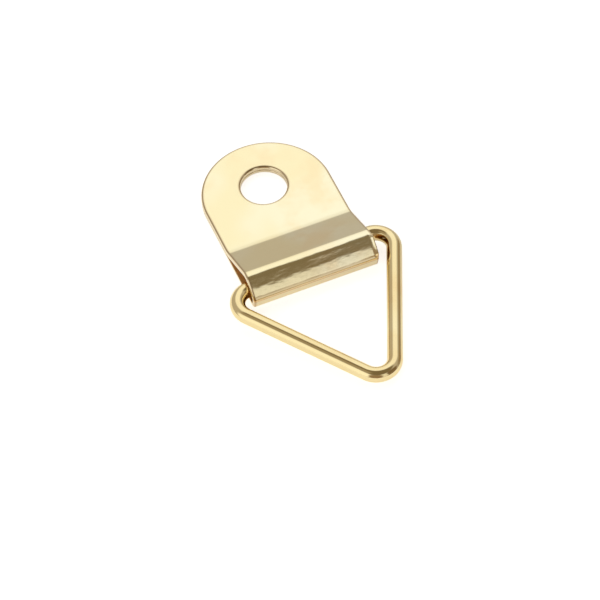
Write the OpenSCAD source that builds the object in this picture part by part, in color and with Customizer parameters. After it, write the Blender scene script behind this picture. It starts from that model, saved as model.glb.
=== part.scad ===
// Strap hanger with a triangle ring, for hanging a small picture frame.
// One strip of sheet is folded back over the ring's crossbar and holds it in a loop.
// Origin: centre of the screw hole, on the back face. +Z faces the room, +Y is the rounded end.

/* [Strap] */
// Width of the strap
strap_w = 12; // [10:0.5:13]
// Thickness of the sheet
sheet_t = 0.4; // [0.3:0.05:0.45]
// Gap between the two leaves where they lie on each other
leaf_gap = 0.04; // [0.03:0.01:0.1]
// Diameter of the screw hole through both leaves
hole_d = 4.2; // [3.2:0.1:5]
// From the centre of the screw hole to the rounded end
hole_to_end = 5.05; // [4.5:0.05:6]
// From the centre of the screw hole to the start of the slope
hole_to_slope = 5.85; // [5:0.05:9]

/* [Loop] */
// Rise of the front leaf's slope, in degrees
slope_angle = 24.5; // [20:0.5:30]
// Fall of the front wall under the crest, in degrees
front_angle = 36; // [32:0.5:38]
// Further turn of the front wall at its belly, in degrees
belly_turn = 16; // [8:1:18]
// Height of the crease above the back face
crease_h = 1.35; // [1.2:0.05:1.5]
// How far the fold's foot stands back under the crease
foot_back = 0.25; // [0:0.05:0.35]
// Bend radius at the start of the slope, to the middle of the sheet
slope_bend_r = 1.4; // [0.8:0.1:2]
// Bend radius at the crest, to the middle of the sheet
crest_bend_r = 0.7; // [0.5:0.05:0.8]
// Bend radius of the belly, to the middle of the sheet
belly_bend_r = 2.8; // [1:0.1:3]
// Bend radius at the crease and at the foot, to the middle of the sheet
foot_bend_r = 0.3; // [0.26:0.01:0.35]

/* [Ring] */
// Diameter of the wire
wire_d = 1.4; // [1.2:0.05:1.6]
// Side of the ring, between the sharp corners of its centreline
ring_side = 17.8; // [17.4:0.1:21]
// Bend radius of the ring's corners, to the centreline of the wire
ring_bend_r = 1.65; // [1.2:0.05:1.9]
// Gap between the ends of the wire, in the middle of the crossbar
butt_gap = 0.12; // [0.05:0.01:0.3]
// Turn of the ring in the loop as it lies, in degrees
ring_turn = 6.5; // [3:0.5:7]
// Further turn that the loop has room for, in degrees
turn_spare = 0.5; // [0.5:0.5:1.5]
// Running clearance between the wire and the sheet
wire_clear = 0.05; // [0.03:0.01:0.08]
// Further room in front of the wire, under the front wall
loop_slack = 0.2; // [0:0.05:0.3]

/* [Hidden] */
$fn = 96;
strap_colour = [0.96, 0.87, 0.64];
ring_colour = [0.88, 0.76, 0.50];

// Steps in each bend of the sheet, and how far a cut runs past a face
bend_steps = 8;
overrun = 1;

// Heights of the sheet's middle line, and the two leaves together
half_t = sheet_t / 2;
back_mid = half_t;
front_mid = sheet_t + leaf_gap + half_t;
stack_t = 2 * sheet_t + leaf_gap;

// The wire lies just above the back leaf. As far as it may turn, it reaches this far
// to each side of its place at the strap's edges, and the loop is built round that.
wire_r = wire_d / 2;
wire_z = sheet_t + wire_clear + wire_r;
turn_room = strap_w / 2 * tan(ring_turn + turn_spare);
wire_to_mid = wire_r + wire_clear + half_t;
near_wire = hole_to_slope
    + (wire_z + wire_to_mid / cos(slope_angle) - front_mid) / tan(slope_angle);
hole_to_ring = near_wire + turn_room;
far_wire = hole_to_ring + turn_room + loop_slack;

// Corners of the middle line past the slope, as [distance from the hole, height].
// Both parts of the front wall just clear the wire at its far place, the bend between them too.
half_belly = belly_turn / 2;
wall_to_wire = wire_to_mid + max(0, belly_bend_r - wire_to_mid) * (1 - cos(half_belly));
front_top = wire_z + wall_to_wire / cos(front_angle);
crest_u = (front_top + far_wire * tan(front_angle) - front_mid
    + hole_to_slope * tan(slope_angle)) / (tan(slope_angle) + tan(front_angle));
crest = [crest_u, front_mid + (crest_u - hole_to_slope) * tan(slope_angle)];
belly_dir = [sin(front_angle + half_belly), cos(front_angle + half_belly)];
belly = [far_wire, wire_z] + belly_dir * wall_to_wire / cos(half_belly);
crease_z = crease_h - half_t * tan(front_angle);
crease = [belly.x + (belly.y - crease_z) / tan(front_angle + belly_turn), crease_z];
foot = [crease.x - foot_back, back_mid];

// The ring's three equal corners, the share of a corner that each half of it is cut from,
// the straights, and the reach from the crossbar to the apex
corner_turn = 120;
sweep_share = 0.6;
straight = ring_side - 2 * ring_bend_r * tan(corner_turn / 2);
ring_reach = ring_side * sin(corner_turn / 2) - ring_bend_r;
lie_angle = asin((wire_z - wire_r) / ring_reach);

// Path of the sheet's middle line, each corner with its bend radius
fold_path = [
    [-hole_to_end - overrun, front_mid, 0],
    [hole_to_slope, front_mid, slope_bend_r],
    [crest.x, crest.y, crest_bend_r],
    [belly.x, belly.y, belly_bend_r],
    [crease.x, crease.y, foot_bend_r],
    [foot.x, foot.y, foot_bend_r],
    [-hole_to_end - overrun, back_mid, 0]
];

function point(c) = [c.x, c.y];
function unit(v) = v / norm(v);
function left_of(v) = [-v.y, v.x];
function turned(v, a) = [v.x * cos(a) - v.y * sin(a), v.x * sin(a) + v.y * cos(a)];

// One bend at corner q, between p and s, on the line that runs off beside the path
function bend(p, q, s, r, off) =
    let (
        a = unit(q - p),
        b = unit(s - q),
        turn = atan2(cross(a, b), a * b),
        side = sign(turn),
        centre = q - a * r * tan(abs(turn) / 2) + left_of(a) * r * side
    )
    [for (i = [0:bend_steps]) centre - turned(left_of(a), turn * i / bend_steps) * (r * side - off)];

// The line that runs off beside the whole path, from its first corner to its last
function beside(path, off) =
    let (
        n = len(path) - 1,
        first = unit(point(path[1]) - point(path[0])),
        last = unit(point(path[n]) - point(path[n - 1])),
        bends = [for (i = [1:n - 1])
            each bend(point(path[i - 1]), point(path[i]), point(path[i + 1]), path[i][2], off)]
    )
    [point(path[0]) + left_of(first) * off, each bends, point(path[n]) + left_of(last) * off];

function reversed(list) = [for (i = [len(list) - 1:-1:0]) list[i]];

// The sheet seen from its side, with the hole's centre at zero and the ring to the right
module fold_section() {
    polygon([each beside(fold_path, half_t), each reversed(beside(fold_path, -half_t))]);
}

// The strap seen from the front, with its rounded end
module strap_outline() {
    end_y = hole_to_end - strap_w / 2;
    translate([0, end_y])
        circle(d = strap_w);
    translate([-strap_w / 2, -foot.x - overrun])
        square([strap_w, end_y + foot.x + overrun]);
}

module folded_strap() {
    color(strap_colour)
    difference() {
        intersection() {
            rotate([90, 0, -90])
                translate([0, 0, -strap_w / 2 - overrun])
                    linear_extrude(strap_w + 2 * overrun)
                        fold_section();
            translate([0, 0, -overrun])
                linear_extrude(crest.y + 2 * overrun)
                    strap_outline();
        }
        translate([0, 0, -overrun])
            cylinder(h = stack_t + 2 * overrun, d = hole_d);
    }
}

// Half of a bend of the wire, up to the plane through the bend's middle and the X axis,
// with what runs on from its end, where the wire heads along the Y axis
module half_bend(turn) {
    difference() {
        rotate([0, 0, -turn / 2]) {
            rotate_extrude(angle = turn * sweep_share)
                translate([ring_bend_r, 0])
                    circle(r = wire_r);
            children();
        }
        translate([-ring_side, 0, -wire_d])
            cube([2 * ring_side, ring_side, 2 * wire_d]);
    }
}

// A straight of the wire, run on from a bend
module wire_run(length) {
    translate([ring_bend_r, 0, 0])
        rotate([90, 0, 0])
            cylinder(h = length, r = wire_r);
}

// Half of the ring, from the wire's end in the crossbar round to the middle of the apex
module half_ring() {
    difference() {
        translate([straight / 2, -ring_bend_r, 0])
        rotate([0, 0, corner_turn / 4]) {
            mirror([0, 1, 0])
                half_bend(corner_turn)
                    wire_run((straight - butt_gap) / 2);
            half_bend(corner_turn) {
                wire_run(straight);
                translate([0, -straight, 0])
                    mirror([0, 1, 0])
                        rotate_extrude(angle = corner_turn * sweep_share)
                            translate([ring_bend_r, 0])
                                circle(r = wire_r);
            }
        }
        translate([-ring_side, -ring_side, -wire_d])
            cube([ring_side, 2 * ring_side, 2 * wire_d]);
    }
}

// The wire's two ends meet in the loop, and the ring lies with its apex down on the surface
module triangle_ring() {
    color(ring_colour)
    translate([0, -hole_to_ring, wire_z])
    rotate([lie_angle, 0, ring_turn]) {
        half_ring();
        mirror([1, 0, 0])
            half_ring();
    }
}

folded_strap();
triangle_ring();
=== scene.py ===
from math import asin, atan2, cos, pi, radians, sin, tan

import bmesh
import bpy
from mathutils import Color, Matrix, Vector


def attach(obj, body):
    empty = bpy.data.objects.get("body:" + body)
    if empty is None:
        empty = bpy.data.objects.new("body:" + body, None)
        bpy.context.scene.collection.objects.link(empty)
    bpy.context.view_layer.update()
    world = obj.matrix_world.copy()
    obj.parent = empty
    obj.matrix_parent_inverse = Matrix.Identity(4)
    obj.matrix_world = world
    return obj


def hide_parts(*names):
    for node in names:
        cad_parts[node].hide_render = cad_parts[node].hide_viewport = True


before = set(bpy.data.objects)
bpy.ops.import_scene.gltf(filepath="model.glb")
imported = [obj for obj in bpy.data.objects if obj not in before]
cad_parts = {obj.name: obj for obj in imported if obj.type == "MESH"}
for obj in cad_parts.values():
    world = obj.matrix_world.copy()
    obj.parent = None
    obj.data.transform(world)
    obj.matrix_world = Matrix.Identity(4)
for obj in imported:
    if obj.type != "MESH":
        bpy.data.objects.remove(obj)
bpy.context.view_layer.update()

mm = 0.001               # lengths below are written in millimetres, and angles in degrees
hair = 1e-4              # lengths that differ by less than this count as equal


def newPiece(bm, name, body, node, normals=None):
    # makes the finished mesh an object that stands for its CAD node and moves with its body
    for face in bm.faces:
        face.smooth = True
    mesh = bpy.data.meshes.new(name)
    bm.to_mesh(mesh)
    bm.free()
    if normals:
        mesh.normals_split_custom_set_from_vertices(normals)
    piece = bpy.data.objects.new(name, mesh)
    bpy.context.scene.collection.objects.link(piece)
    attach(piece, body)
    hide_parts(node)
    return piece


def sharpEdges(bm, keep, least=45):
    # edges where two faces meet at more than this angle, among those that keep accepts
    return [e for e in bm.edges
            if len(e.link_faces) == 2 and e.calc_face_angle() > radians(least) and keep(e)]


def roundOff(bm, edges, radius, segments):
    bmesh.ops.bevel(bm, geom=edges, offset=radius, offset_type="OFFSET", segments=segments,
                    profile=0.5, affect="EDGES", clamp_overlap=False, material=-1)


# Materials: a socket that adds its own Math nodes, and a tree that adds any other node

class Socket:
    def __init__(self, tree, socket):
        self.tree = tree
        self.socket = socket

    def maths(self, operation, first, second):
        return self.tree.add("ShaderNodeMath", {"operation": operation}, {0: first, 1: second})

    def __add__(self, other):
        return self.maths("ADD", self, other)

    def __sub__(self, other):
        return self.maths("SUBTRACT", self, other)

    def __rsub__(self, other):
        return self.maths("SUBTRACT", other, self)

    def __mul__(self, other):
        return self.maths("MULTIPLY", self, other)

    __radd__ = __add__
    __rmul__ = __mul__


class Tree:
    def __init__(self, nodeTree):
        self.nodes = nodeTree.nodes
        self.links = nodeTree.links
        self.nodes.clear()

    def add(self, kind, settings=None, inputs=None, output=0):
        node = self.nodes.new(kind)
        for key, value in (settings or {}).items():
            setattr(node, key, value)
        for key, value in (inputs or {}).items():
            if isinstance(value, Socket):
                self.links.new(value.socket, node.inputs[key])
            else:
                node.inputs[key].default_value = value
        return Socket(self, node.outputs[output]) if node.outputs else node

    def attribute(self, name):
        return self.add("ShaderNodeAttribute", {"attribute_name": name}, output="Fac")

    def noise(self, place, scale, detail):
        return self.add("ShaderNodeTexNoise", inputs={"Vector": place, "Scale": scale, "Detail": detail})

    def remap(self, value, fromLow, fromHigh, toLow, toHigh):
        return self.add("ShaderNodeMapRange", {"interpolation_type": "SMOOTHSTEP"}, {
            "Value": value, "From Min": fromLow, "From Max": fromHigh, "To Min": toLow, "To Max": toHigh})

    def band(self, value, ends):
        # rises between the first two ends and falls between the last two
        start, full, fading, end = ends
        return self.remap(value, start, full, 0, 1) * self.remap(value, fading, end, 1, 0)

    def mixColour(self, factor, first, second):
        # the Mix node's colour sockets share their names with others, so they go by number
        return self.add("ShaderNodeMix", {"data_type": "RGBA"}, {0: factor, 6: first, 7: second}, 2)

    def dot(self, first, second):
        return self.add("ShaderNodeVectorMath", {"operation": "DOT_PRODUCT"}, {0: first, 1: second}, "Value")


def srgb(red, green, blue):
    # a colour as the eye reads it, from 0 to 255, as the light values that Blender wants
    return (*Color((red / 255, green / 255, blue / 255)).from_srgb_to_scene_linear(), 1)


# Camera

camera = {
    "azimuth": -20.5,            # round from looking along +Y
    "elevation": 52.2,
    "roll": 3.1,                 # anticlockwise on the picture
    "distance": 333.3,
    "pixelsPerMm": 11.092,       # at the screw hole, in a picture 600 pixels wide
    "pictureWidth": 600,
    "holePixel": (264.12, 190.95),
    "sensorWidth": 36,
}


def setCamera():
    azimuth, elevation, roll = (radians(camera[k]) for k in ("azimuth", "elevation", "roll"))
    back = Vector((sin(azimuth) * cos(elevation), -cos(azimuth) * cos(elevation), sin(elevation)))
    right = Vector((cos(azimuth), sin(azimuth), 0))
    turn = Matrix((right, back.cross(right), back)).transposed()
    turn = turn @ Matrix.Rotation(-roll, 3, "Z")
    right, up = turn.col[0], turn.col[1]
    middle = camera["pictureWidth"] / 2
    aside = (middle - camera["holePixel"][0]) / camera["pixelsPerMm"]
    above = (camera["holePixel"][1] - middle) / camera["pixelsPerMm"]
    place = (right * aside + up * above + back * camera["distance"]) * mm
    data = bpy.data.cameras.new("camera")
    data.sensor_width = camera["sensorWidth"]
    data.lens = camera["distance"] * camera["pixelsPerMm"] / camera["pictureWidth"] * camera["sensorWidth"]
    data.clip_start = mm
    placed = bpy.data.objects.new("camera", data)
    placed.matrix_world = Matrix.Translation(place) @ turn.to_4x4()
    bpy.context.scene.collection.objects.link(placed)
    bpy.context.scene.camera = placed


setCamera()
print("camera placed")


# Strap: a flat blank with rounded ends and two holes, folded like the real strip

strap = {
    "width": 12,
    "thickness": 0.4,
    "leafGap": 0.04,
    "holeDiameter": 4.2,
    "holeToEnd": 5.05,
    "holeToSlope": 5.85,
    "slopeAngle": 24.5,          # rise of the front leaf towards the crest
    "frontAngle": 36,            # fall of the front wall under it
    "bellyTurn": 16,             # further turn of the wall over the wire
    "creaseHeight": 1.35,        # above the back face
    "footBack": 0.25,            # how far the foot stands back under the crease
    "slopeBend": 2.6,            # bend radii, to the middle of the sheet
    "crestBend": 0.8,
    "bellyBend": 2.8,
    "footBend": 0.3,
    "outerRound": 0.22,          # the punch draws the outer edges in, and leaves the inner ones sharper
    "outerSteps": 6,
    "innerRound": 0.05,
    "innerSteps": 3,
    "rim": 0.3,                  # band of even faces along each edge
    "lineStart": 0.35,           # how strong the painted shade on the outer edges' rounds is where the flat ends, and the depths between which it gives way to the sheared edge
    "lineFade": (0.04, 0.1),     # and the depths between which it gives way to the sheared edge
    "lipWidth": 0.5,             # the bending turned the front wall's right end up a little,
    "lipHeight": 0.2,
    "lipRound": 0.08,            # and left less of the outer edge's round there
    "lipCuts": 4,
    "lipSpan": (-2.3, -1.7, -0.15, 0.1),     # where it starts, is full, fades and ends, from the crease
    "endSegments": 180,
    "holeSegments": 120,
    "degreesPerCut": 3,
    "creaseRun": 7,              # the crease's bend among the straights and bends of the fold
}

ring = {
    "wireDiameter": 1.4,
    "side": 17.8,                # between the sharp corners of the wire's middle line
    "bend": 1.65,
    "cornerTurn": 120,
    "buttGap": 0.12,             # between the wire's ends
    "turn": 6.5,                 # of the ring in the loop, as it lies
    "turnSpare": 0.5,            # further turn that the loop has room for
    "clearance": 0.05,
    "loopSlack": 0.2,            # further room under the front wall
    "endRound": 0.1,
    "endSteps": 4,
    "wireSegments": 48,
    "bendSteps": 40,
}


def loopSizes():
    # the corners of the sheet's middle line round the loop, and where the ring's crossbar lies in it
    half = strap["thickness"] / 2
    frontMiddle = strap["thickness"] + strap["leafGap"] + half
    wireRadius = ring["wireDiameter"] / 2
    wireHeight = strap["thickness"] + ring["clearance"] + wireRadius
    toMiddle = wireRadius + ring["clearance"] + half
    slope, front = radians(strap["slopeAngle"]), radians(strap["frontAngle"])
    halfBelly = radians(strap["bellyTurn"] / 2)
    turnRoom = strap["width"] / 2 * tan(radians(ring["turn"] + ring["turnSpare"]))
    nearWire = strap["holeToSlope"] + (wireHeight + toMiddle / cos(slope) - frontMiddle) / tan(slope)
    holeToRing = nearWire + turnRoom
    farWire = holeToRing + turnRoom + ring["loopSlack"]
    wallToWire = toMiddle + max(0, strap["bellyBend"] - toMiddle) * (1 - cos(halfBelly))
    frontTop = wireHeight + wallToWire / cos(front)
    crestPlace = (frontTop + farWire * tan(front) - frontMiddle
                  + strap["holeToSlope"] * tan(slope)) / (tan(slope) + tan(front))
    crest = Vector((crestPlace, frontMiddle + (crestPlace - strap["holeToSlope"]) * tan(slope)))
    bellyWay = Vector((sin(front + halfBelly), cos(front + halfBelly)))
    belly = Vector((farWire, wireHeight)) + bellyWay * wallToWire / cos(halfBelly)
    creaseHeight = strap["creaseHeight"] - half * tan(front)
    crease = Vector((belly.x + (belly.y - creaseHeight) / tan(front + 2 * halfBelly), creaseHeight))
    corners = [
        (Vector((-strap["holeToEnd"], frontMiddle)), 0),
        (Vector((strap["holeToSlope"], frontMiddle)), strap["slopeBend"]),
        (crest, strap["crestBend"]),
        (belly, strap["bellyBend"]),
        (crease, strap["footBend"]),
        (Vector((crease.x - strap["footBack"], half)), strap["footBend"]),
        (Vector((-strap["holeToEnd"], half)), 0),
    ]
    return corners, holeToRing, wireHeight


def foldRuns(corners):
    # the middle line as straights and arcs: length before, start, heading, bend per millimetre, length
    runs = []
    travelled = 0
    start = corners[0][0]
    for (before, _), (corner, radius), (after, _) in zip(corners, corners[1:], corners[2:]):
        way, nextWay = (corner - before).normalized(), (after - corner).normalized()
        heading = atan2(way.y, way.x)
        turn = atan2(way.x * nextWay.y - way.y * nextWay.x, way.dot(nextWay))
        cut = corner - way * radius * tan(abs(turn) / 2)
        runs.append((travelled, start, heading, 0, (cut - start).length))
        travelled += (cut - start).length
        curve = (1 if turn > 0 else -1) / radius
        runs.append((travelled, cut, heading, curve, abs(turn) * radius))
        travelled += abs(turn) * radius
        start = corner + nextWay * radius * tan(abs(turn) / 2)
    way = corners[-1][0] - start
    runs.append((travelled, start, atan2(way.y, way.x), 0, way.length))
    return runs, travelled + way.length


def onFold(runs, along, height):
    # the place beside the middle line, as distance from the hole towards the ring, and height,
    # and the sheet's heading there
    before, start, heading, curve, _ = [r for r in runs if r[0] <= along or r is runs[0]][-1]
    step = along - before
    if curve:
        new = heading + curve * step
        place = start + Vector((sin(new) - sin(heading), cos(heading) - cos(new))) / curve
    else:
        new = heading
        place = start + Vector((cos(heading), sin(heading))) * step
    return place + Vector((-sin(new), cos(new))) * height, new


def strapBlank(length):
    # the flat sheet with its edges rounded; the upper side becomes the outer one
    halfWidth = strap["width"] / 2
    bm = bmesh.new()
    for middle, side in ((halfWidth, 1), (length - halfWidth, -1)):
        made = bmesh.ops.create_circle(bm, segments=strap["endSegments"], radius=halfWidth,
                                       matrix=Matrix.Translation((0, middle, 0)))
        inner = [v for v in made["verts"] if (v.co.y - middle) * side > hair]
        bmesh.ops.delete(bm, geom=inner, context="VERTS")
    for side in (-1, 1):
        ends = [v for v in bm.verts if abs(v.co.x - side * halfWidth) < hair]
        bm.edges.new(ends)
    for middle in (strap["holeToEnd"], length - strap["holeToEnd"]):
        bmesh.ops.create_circle(bm, segments=strap["holeSegments"], radius=strap["holeDiameter"] / 2,
                                matrix=Matrix.Translation((0, middle, 0)))
    bmesh.ops.triangle_fill(bm, use_beauty=True, use_dissolve=False, edges=bm.edges[:])
    bmesh.ops.inset_region(bm, faces=bm.faces[:], thickness=strap["rim"], use_boundary=True,
                           use_even_offset=True)
    bmesh.ops.translate(bm, verts=bm.verts[:], vec=(0, 0, -strap["thickness"] / 2))
    made = bmesh.ops.extrude_face_region(bm, geom=bm.faces[:])
    lifted = [g for g in made["geom"] if isinstance(g, bmesh.types.BMVert)]
    bmesh.ops.translate(bm, verts=lifted, vec=(0, 0, strap["thickness"]))
    bmesh.ops.recalc_face_normals(bm, faces=bm.faces[:])
    for side, radius, steps in ((1, strap["outerRound"], strap["outerSteps"]),
                                (-1, strap["innerRound"], strap["innerSteps"])):
        edges = sharpEdges(bm, lambda e: all(v.co.z * side > 0 for v in e.verts))
        roundOff(bm, edges, radius, steps)
    return bm


def cutBends(bm, runs):
    # cuts across the blank, close enough for smooth bends
    for before, _, _, curve, span in runs:
        if curve:
            cuts = max(1, round(abs(curve) * span / radians(strap["degreesPerCut"])))
            for i in range(cuts + 1):
                bmesh.ops.bisect_plane(bm, geom=bm.verts[:] + bm.edges[:] + bm.faces[:], dist=hair,
                                       plane_co=(0, before + span * i / cuts, 0), plane_no=(0, 1, 0))


def markSheet(bm, crease):
    # attributes that the plating goes by
    fromCrease = bm.verts.layers.float.new("fromCrease")    # millimetres along the sheet
    inside = bm.verts.layers.float.new("inside")            # 1 on the surface that faces the loop
    cut = bm.verts.layers.float.new("cut")                  # 1 on the sheared edges
    line = bm.verts.layers.float.new("line")                # 1 on the outer edges' rounds, where shade is painted
    half = strap["thickness"] / 2
    full, gone = strap["lineFade"]
    # the outer flat ends at the vertices that share an edge with a lower one
    drawn = {v for e in bm.edges for v in e.verts if min(end.co.z for end in e.verts) < half - hair}
    for v in bm.verts:
        flat = abs(v.co.z) > half - hair
        v[fromCrease] = v.co.y - crease
        v[inside] = 1 if v.co.z < hair - half else 0
        v[cut] = 0 if flat else 1
        # the painted shade is full on the outer round, fades down the sheared side, and is weaker on the
        # flat's border
        if not flat:
            v[line] = min(1, max(0, (gone - half + v.co.z) / (gone - full)))
        elif v.co.z > 0 and v in drawn:
            v[line] = strap["lineStart"]


def turnUpEnd(bm, crease):
    # raises the lip at the right end of the front wall, and returns the vertices in it
    halfWidth, half = strap["width"] / 2, strap["thickness"] / 2
    width, outer, small = strap["lipWidth"], strap["outerRound"], strap["lipRound"]
    start, full, fading, end = strap["lipSpan"]
    for i in range(strap["lipCuts"]):                       # cuts beside the end, for a smooth rise
        inset = strap["rim"] + (width - strap["rim"]) * (i + 1) / strap["lipCuts"]
        faces = [f for f in bm.faces if start < f.calc_center_median().y - crease < end]
        edges = list(dict.fromkeys(e for f in faces for e in f.edges))
        verts = list(dict.fromkeys(v for f in faces for v in f.verts))
        bmesh.ops.bisect_plane(bm, geom=faces + edges + verts, dist=hair,
                               plane_co=(halfWidth - inset, 0, 0), plane_no=(1, 0, 0))
    raised = set()
    for v in bm.verts:
        inset, along = halfWidth - v.co.x, v.co.y - crease
        strength = max(0, min(1, (along - start) / (full - start), (end - along) / (end - fading)))
        if inset < width and strength > 0:
            new = inset
            if v.co.z > strap["innerRound"] - half + hair:  # the outer round is drawn tighter
                new = inset * small / outer
                if inset > outer:
                    new = small + (inset - outer) * (width - small) / (width - outer)
                new = inset + (new - inset) * strength
                v.co.z = half - (half - v.co.z) * (1 - (1 - small / outer) * strength)
            v.co.x = halfWidth - new
            v.co.z += strap["lipHeight"] * strength * (1 - new / width) ** 2
            raised.add(v)
    return raised


def foldSheet(bm, runs, flat):
    # bends the blank, and returns its vertices' normals: those of the flat blank, turned with the fold,
    # so that the small rounds don't shade the flats
    bm.normal_update()
    normals = []
    for v in bm.verts:
        normal = Vector((0, 0, v.co.z)).normalized() if v in flat else v.normal
        place, heading = onFold(runs, v.co.y, v.co.z)
        normals.append((normal.x, -normal.y * cos(heading) + normal.z * sin(heading),
                        normal.y * sin(heading) + normal.z * cos(heading)))
        v.co = Vector((v.co.x, -place.x, place.y)) * mm
    bmesh.ops.reverse_faces(bm, faces=bm.faces[:])          # the ring's side is -Y, which mirrors the blank
    return normals


def makeStrap(corners):
    runs, length = foldRuns(corners)
    crease = runs[strap["creaseRun"]][0]
    bm = strapBlank(length)
    cutBends(bm, runs)
    markSheet(bm, crease)
    raised = turnUpEnd(bm, crease)
    flatHeight = strap["thickness"] / 2 - hair
    flat = {v for v in bm.verts if abs(v.co.z) > flatHeight and v not in raised}
    normals = foldSheet(bm, runs, flat)
    return newPiece(bm, "foldedStrap", "strap", "folded_strap", normals)


foldCorners, barPlace, barHeight = loopSizes()
strapPiece = makeStrap(foldCorners)
print("strap folded")


# Ring: one wire, drawn out along the straights and spun round the corners

def facesIn(made):
    return [g for g in made if isinstance(g, bmesh.types.BMFace)]


def leftOf(heading):
    return Vector((-sin(heading), cos(heading), 0))


def makeRing(holeToRing, wireHeight):
    radius = ring["wireDiameter"] / 2
    turn = radians(ring["cornerTurn"])
    straight = ring["side"] - 2 * ring["bend"] * tan(turn / 2)
    halfBar = (straight - ring["buttGap"]) / 2
    place, heading = Vector((-ring["buttGap"] / 2, 0, 0)), pi
    bm = bmesh.new()
    bmesh.ops.create_circle(bm, cap_ends=True, segments=ring["wireSegments"], radius=radius,
                            matrix=Matrix.Translation(place) @ Matrix.Rotation(pi / 2, 4, "Y"))
    tip = bm.faces[:]
    for number, run in enumerate((halfBar, straight, straight, halfBar)):
        if number:               # a bend comes before each run but the first
            inward = leftOf(heading) * ring["bend"]
            made = bmesh.ops.spin(bm, geom=tip + tip[0].edges[:] + tip[0].verts[:], cent=place + inward,
                                  axis=(0, 0, 1), dvec=(0, 0, 0), angle=turn, steps=ring["bendSteps"])
            tip = facesIn(made["geom_last"])
            heading += turn
            place = place + inward - leftOf(heading) * ring["bend"]
        way = Vector((cos(heading), sin(heading), 0)) * run
        made = bmesh.ops.extrude_face_region(bm, geom=tip)
        if number:               # the first face closes the wire's end, and later ones would lie inside it
            bmesh.ops.delete(bm, geom=tip, context="FACES_ONLY")
        tip = facesIn(made["geom"])
        bmesh.ops.translate(bm, verts=tip[0].verts[:], vec=way)
        place = place + way
    bmesh.ops.remove_doubles(bm, verts=bm.verts[:], dist=hair)
    bmesh.ops.recalc_face_normals(bm, faces=bm.faces[:])
    roundOff(bm, sharpEdges(bm, lambda e: True), ring["endRound"], ring["endSteps"])
    reach = ring["side"] * sin(turn / 2) - ring["bend"]
    lie = asin((wireHeight - radius) / reach)
    place = (Matrix.Scale(mm, 4) @ Matrix.Translation((0, -holeToRing, wireHeight))
             @ Matrix.Rotation(radians(ring["turn"]), 4, "Z") @ Matrix.Rotation(lie, 4, "X"))
    bmesh.ops.transform(bm, matrix=place, verts=bm.verts[:])
    return newPiece(bm, "triangleRing", "ring", "triangle_ring")


ringPiece = makeRing(barPlace, barHeight)
print("ring bent")


# Plating

plating = {
    "paleScale": 120,            # scales are in patches per metre
    "paleDetail": 2,
    "paleRange": (0.42, 0.62),   # of the noise, from none to full
    "blushScale": 330,
    "blushDetail": 3,
    "blushRange": (0.48, 0.76),
    "blushStrength": 0.8,
    "waveScale": 900,
    "waveDetail": 2,
    "grainScale": 4000,
    "grainDetail": 3,
    "grainDepth": 0.08,          # how much the roughness varies
}

strapPlating = {
    "colour": srgb(253, 240, 194),
    "pale": srgb(254, 246, 210),
    "blush": srgb(253, 233, 186),
    "roughness": 0.10,
    "wave": 0.008,                           # height of the unevenness
    "waveStretch": (0.35, 1, 1),             # less than 1 draws it out along that axis
    "cut": srgb(252, 236, 198),              # on the sheared edges
    "line": srgb(208, 186, 146),             # painted shade on the outer edges' rounds
    "stain": srgb(172, 122, 66),             # painted shade along the crease, and a browner tint along the foot
    "crease": (-0.22, -0.08, 0.14, 0.26),    # bands along the sheet, as distances from the crease
    "creaseShade": 0.38,
    "foot": (0.05, 0.2, 1.2, 1.4),
    "footTint": 0.2,
    "wall": (-2.1, -1.7, -0.3, 0),
    "wallWave": 0.07,
    "wallDetail": 3,
    "wallSatin": 0.07,
    "inside": srgb(232, 180, 108),           # painted brown on the surface that faces the loop, in place of the loop's reflections of itself
    "insideDullness": 0.8,
    "insideSatin": 0.2,
}

ringPlating = {
    "colour": srgb(247, 227, 172),
    "pale": srgb(250, 233, 182),
    "blush": srgb(243, 216, 158),
    "roughness": 0.11,
    "wave": 0.005,
    "waveStretch": (1, 1, 1),
}


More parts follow.
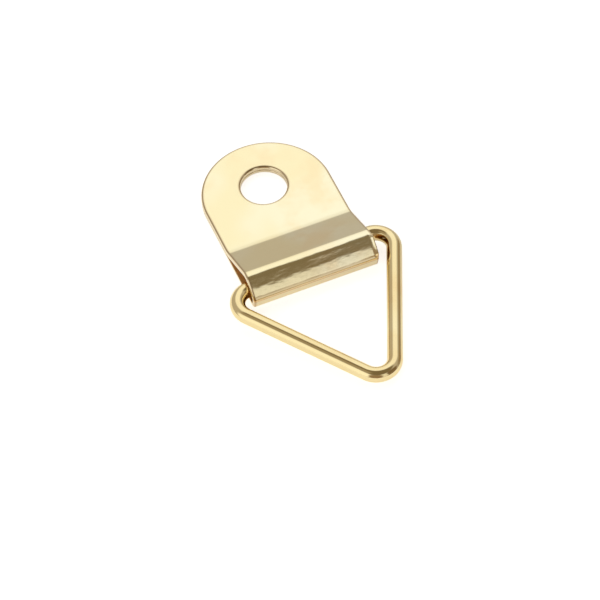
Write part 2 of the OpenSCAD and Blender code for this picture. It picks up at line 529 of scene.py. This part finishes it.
def makePlating(piece, settings):
    material = bpy.data.materials.new(piece.name + "Plating")
    material.use_nodes = True
    tree = Tree(material.node_tree)
    place = tree.add("ShaderNodeTexCoord", output="Object")
    pale = tree.noise(place, plating["paleScale"], plating["paleDetail"])
    pale = tree.remap(pale, *plating["paleRange"], 0, 1)
    blush = tree.noise(place, plating["blushScale"], plating["blushDetail"])
    blush = tree.remap(blush, *plating["blushRange"], 0, plating["blushStrength"])
    colour = tree.mixColour(pale, settings["colour"], settings["pale"])
    colour = tree.mixColour(blush, colour, settings["blush"])
    stretched = tree.add("ShaderNodeMapping", inputs={"Vector": place, "Scale": settings["waveStretch"]})
    height = tree.noise(stretched, plating["waveScale"], plating["waveDetail"]) * settings["wave"]
    grain = tree.noise(place, plating["grainScale"], plating["grainDetail"]) * plating["grainDepth"]
    roughness = grain + (settings["roughness"] - plating["grainDepth"] / 2)
    metallic = 1
    if "crease" in settings:     # the sheared edges and the folding's ripple, with painted shade on the outer edges' rounds and along the crease, a browner foot and a painted brown inside the loop, on the strap alone
        along, inside = tree.attribute("fromCrease"), tree.attribute("inside")
        wall = tree.band(along, settings["wall"])
        # painted shade along the crease, and a browner tint along the foot
        stain = tree.band(along, settings["crease"]) * settings["creaseShade"]
        stain = stain + tree.band(along, settings["foot"]) * settings["footTint"]
        colour = tree.mixColour(tree.attribute("cut"), colour, settings["cut"])
        # painted shade on the outer edges' rounds
        colour = tree.mixColour(tree.attribute("line"), colour, settings["line"])
        colour = tree.mixColour(stain, colour, settings["stain"])
        # painted brown on the loop's inside, in place of its reflections of itself; less metal there lets it
        # catch light
        colour = tree.mixColour(inside, colour, settings["inside"])
        ripple = tree.noise(stretched, plating["waveScale"], settings["wallDetail"])
        height = height + ripple * wall * settings["wallWave"]
        roughness = roughness + inside * settings["insideSatin"] + wall * settings["wallSatin"]
        metallic = 1 - inside * settings["insideDullness"]
    bump = tree.add("ShaderNodeBump", inputs={"Strength": 1, "Distance": mm, "Height": height})
    shader = tree.add("ShaderNodeBsdfPrincipled", inputs={
        "Base Color": colour, "Metallic": metallic, "Roughness": roughness, "Normal": bump})
    tree.add("ShaderNodeOutputMaterial", inputs={"Surface": shader})
    piece.data.materials.append(material)


makePlating(strapPiece, strapPlating)
makePlating(ringPiece, ringPlating)
print("plating made")


# Studio: a white table and soft light that differs by direction

white = (1, 1, 1, 1)
black = (0, 0, 0, 1)

studio = {
    "level": (0.50, 0.46, 0.43, 1),
    "cards": [                   # azimuth round from +Y towards +X, elevation, inner and outer radius
        {"name": "low back light", "at": (25, 31), "size": (15, 28), "colour": (0.92, 0.90, 0.87, 1)},
        {"name": "back light", "at": (28, 56), "size": (17, 35), "colour": (1.02, 1.02, 1.02, 1)},
        {"name": "left light", "at": (-109, 24), "size": (16, 34), "colour": (1.10, 1.10, 1.10, 1)},
        {"name": "front light", "at": (168, 26), "size": (15, 25), "colour": (0.85, 0.83, 0.82, 1)},
        {"name": "front shade", "at": (204, 22), "size": (20, 29), "colour": (0.29, 0.21, 0.14, 1)},
        {"name": "right shade", "at": (87, 12), "size": (10, 30), "colour": (0.30, 0.25, 0.19, 1)},
        {"name": "camera shade", "at": (180, 77.5), "size": (29, 36), "colour": (0.20, 0.157, 0.10, 1)},
        {"name": "low shade", "at": (136, 28), "size": (17, 25), "colour": (0.19, 0.13, 0.08, 1)},
        {"name": "table shade", "at": (140, 4), "size": (14, 24), "colour": (0.24, 0.18, 0.12, 1)},
        {"name": "high shade", "at": (-90, 64), "size": (8, 20), "colour": (0.36, 0.31, 0.24, 1)},
    ],
    "tableSize": 3000,
    "tableGap": 0.02,            # under the back leaf
    "tableColour": (0.8, 0.8, 0.8, 1),
    "tableGlow": 0.74,
    "tableReflectedGlow": (0.59, 0.16),  # painted glow that metal sees in the table, brighter on the lit side than on the far side
    "litSide": (-0.8, -0.6, 0),
    "glossReach": 14,
}


def wayOf(azimuth, elevation):
    return (sin(radians(azimuth)) * cos(radians(elevation)),
            cos(radians(azimuth)) * cos(radians(elevation)), sin(radians(elevation)))


def makeLight():
    world = bpy.data.worlds.new("studio")
    world.use_nodes = True
    bpy.context.scene.world = world
    tree = Tree(world.node_tree)
    direction = tree.add("ShaderNodeTexCoord", output="Generated")
    light = studio["level"]
    for card in studio["cards"]:
        facing = tree.dot(direction, wayOf(*card["at"]))
        inner, outer = card["size"]
        mask = tree.remap(facing, cos(radians(outer)), cos(radians(inner)), 0, 1)
        light = tree.mixColour(mask, light, card["colour"])
        light.socket.node.label = card["name"]
    seen = tree.add("ShaderNodeLightPath", output="Is Camera Ray")
    light = tree.mixColour(seen, light, white)
    background = tree.add("ShaderNodeBackground", inputs={"Color": light, "Strength": 1})
    tree.add("ShaderNodeOutputWorld", inputs={"Surface": background})


def makeTableWhite():
    # white to the camera, less so to the metal, where the glow is painted brighter on the lit side, and
    # see-through from below
    material = bpy.data.materials.new("tableWhite")
    material.use_nodes = True
    tree = Tree(material.node_tree)
    seen = tree.add("ShaderNodeLightPath", output="Is Camera Ray")
    glossy = tree.add("ShaderNodeLightPath", output="Is Glossy Ray")
    through = tree.add("ShaderNodeLightPath", output="Is Transmission Ray")
    place = tree.add("ShaderNodeNewGeometry", output="Position")
    reach = studio["glossReach"] * mm
    lit, unlit = studio["tableReflectedGlow"]
    reflectedGlow = glossy * tree.remap(tree.dot(place, studio["litSide"]), -reach, reach, unlit, lit)
    level = (seen + through) * studio["tableGlow"] + reflectedGlow
    glow = tree.add("ShaderNodeEmission", inputs={
        "Color": tree.mixColour(level, black, white), "Strength": 1})
    paint = tree.add("ShaderNodeBsdfDiffuse", inputs={"Color": studio["tableColour"]})
    both = tree.add("ShaderNodeAddShader", inputs={0: glow, 1: paint})
    under = tree.add("ShaderNodeNewGeometry", output="Backfacing")
    clear = tree.add("ShaderNodeBsdfTransparent")
    surface = tree.add("ShaderNodeMixShader", inputs={0: under, 1: both, 2: clear})
    tree.add("ShaderNodeOutputMaterial", inputs={"Surface": surface})
    return material


def makeTable():
    bm = bmesh.new()
    bmesh.ops.create_grid(bm, x_segments=1, y_segments=1, size=studio["tableSize"] * mm / 2,
                          matrix=Matrix.Translation((0, 0, -studio["tableGap"] * mm)))
    mesh = bpy.data.meshes.new("table")
    bm.to_mesh(mesh)
    bm.free()
    mesh.materials.append(makeTableWhite())
    table = bpy.data.objects.new("table", mesh)
    bpy.context.scene.collection.objects.link(table)


makeLight()
makeTable()
bpy.context.scene.view_settings.view_transform = "Standard"
print("studio lit")
